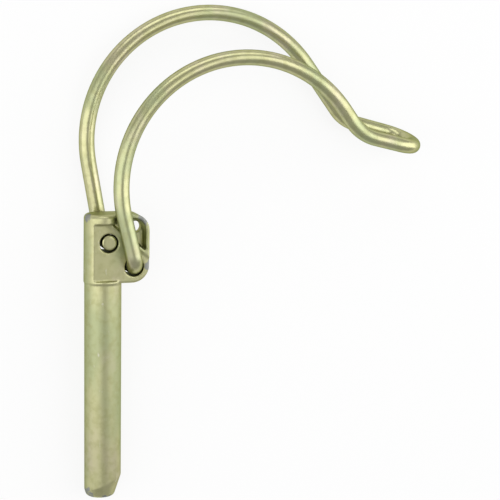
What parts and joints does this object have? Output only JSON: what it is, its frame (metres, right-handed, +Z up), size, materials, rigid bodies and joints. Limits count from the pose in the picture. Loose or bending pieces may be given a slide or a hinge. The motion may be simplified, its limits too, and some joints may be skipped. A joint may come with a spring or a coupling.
{
  "type": "lynch pin",
  "caption": "Forged lynch pin with a side lug and a round spring wire bail that swings over the pin's tip to lock it in place.",
  "frame": {"origin": "the middle of the footprint, on the surface that the pin lies on", "axes": "+Z up from that surface; +Y along the shank from the tip towards the head, 3 degrees off level; +X from the shank towards the lug and the bail's finger loop"},
  "size_m": [0.0918, 0.1274, 0.0179],
  "materials": {
    "pin_plating": "forged steel, zinc plated and yellow passivated, satin, lightly scuffed",
    "bail_plating": "drawn spring wire, zinc plated and yellow passivated, smooth satin"
  },
  "bodies": {
    "pin": {"pin": "pin_plating"},
    "bail": {"bail": "bail_plating"}
  },
  "joints": [
    {"name": "bail_swing", "type": "hinge", "parent": "pin", "child": "bail", "pos_m": [-0.03664, 0.00018, 0.00772], "axis": [-0.0153, 0.0504, -0.9986], "range_deg": [0, 118], "deforming": ["bail"]}
  ]
}
